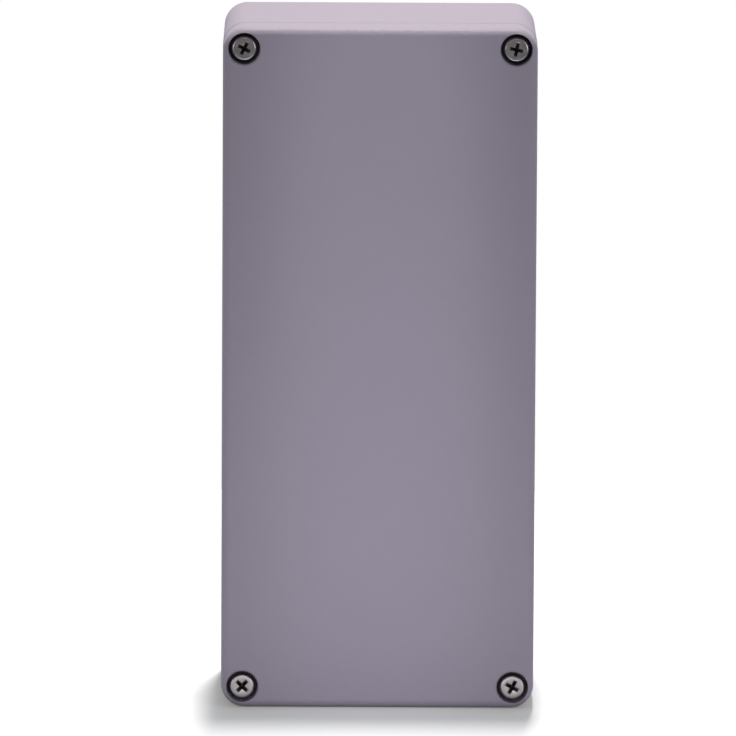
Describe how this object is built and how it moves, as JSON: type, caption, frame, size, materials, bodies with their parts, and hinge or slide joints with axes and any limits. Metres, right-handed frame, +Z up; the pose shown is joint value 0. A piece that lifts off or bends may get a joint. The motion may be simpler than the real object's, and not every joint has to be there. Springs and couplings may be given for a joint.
{
  "type": "aluminium enclosure",
  "caption": "Die-cast aluminium enclosure: deep rectangular base and flat lid with rounded corners, sealed by a gasket and held by captive corner screws.",
  "frame": {"origin": "centre of the bounding box's bottom, on the surface that the lower end stands on", "axes": "+Z up along the enclosure's length, +Y from the lid towards the wall-mounting face, +X to the right of a viewer who faces the lid"},
  "size_m": [0.08, 0.057, 0.175],
  "materials": {
    "grey_powder_coat": "satin",
    "stainless_steel": "satin",
    "washer_black": "matte",
    "gasket_rubber": "matte",
    "plated_steel": "satin"
  },
  "bodies": {
    "base": {"base": "grey_powder_coat", "earth_screw": "plated_steel", "earth_lock_washer": "plated_steel", "earth_clamp": "plated_steel"},
    "lid": {"lid": "grey_powder_coat", "gasket": "gasket_rubber"},
    "washer_top_left": {"screw_washer_top_left": "washer_black"},
    "screw_top_left": {"lid_screw_top_left": "stainless_steel"},
    "washer_top_right": {"screw_washer_top_right": "washer_black"},
    "screw_top_right": {"lid_screw_top_right": "stainless_steel"},
    "washer_bottom_left": {"screw_washer_bottom_left": "washer_black"},
    "screw_bottom_left": {"lid_screw_bottom_left": "stainless_steel"},
    "washer_bottom_right": {"screw_washer_bottom_right": "washer_black"},
    "screw_bottom_right": {"lid_screw_bottom_right": "stainless_steel"}
  },
  "joints": [
    {"name": "lid_lift", "type": "slide", "parent": "base", "child": "lid", "axis": [0, -1, 0], "range_m": [0, 0.08]},
    {"name": "screw_rise_top_left", "type": "slide", "parent": "lid", "child": "washer_top_left", "axis": [0, -1, 0], "range_m": [0, 0.007]},
    {"name": "screw_turn_top_left", "type": "hinge", "parent": "washer_top_left", "child": "screw_top_left", "pos_m": [-0.0345, -0.0251, 0.1695], "axis": [0, -1, 0], "range_deg": [0, 3602]},
    {"name": "screw_rise_top_right", "type": "slide", "parent": "lid", "child": "washer_top_right", "axis": [0, -1, 0], "range_m": [0, 0.007]},
    {"name": "screw_turn_top_right", "type": "hinge", "parent": "washer_top_right", "child": "screw_top_right", "pos_m": [0.0345, -0.0251, 0.1695], "axis": [0, -1, 0], "range_deg": [0, 3602]},
    {"name": "screw_rise_bottom_left", "type": "slide", "parent": "lid", "child": "washer_bottom_left", "axis": [0, -1, 0], "range_m": [0, 0.007]},
    {"name": "screw_turn_bottom_left", "type": "hinge", "parent": "washer_bottom_left", "child": "screw_bottom_left", "pos_m": [-0.0345, -0.0251, 0.0055], "axis": [0, -1, 0], "range_deg": [0, 3602]},
    {"name": "screw_rise_bottom_right", "type": "slide", "parent": "lid", "child": "washer_bottom_right", "axis": [0, -1, 0], "range_m": [0, 0.007]},
    {"name": "screw_turn_bottom_right", "type": "hinge", "parent": "washer_bottom_right", "child": "screw_bottom_right", "pos_m": [0.0345, -0.0251, 0.0055], "axis": [0, -1, 0], "range_deg": [0, 3602]}
  ],
  "couplings": [
    {"joint": "screw_turn_top_left", "follows": "screw_rise_top_left", "rad_per_m": 8976},
    {"joint": "screw_turn_top_right", "follows": "screw_rise_top_right", "rad_per_m": 8976},
    {"joint": "screw_turn_bottom_left", "follows": "screw_rise_bottom_left", "rad_per_m": 8976},
    {"joint": "screw_turn_bottom_right", "follows": "screw_rise_bottom_right", "rad_per_m": 8976}
  ]
}
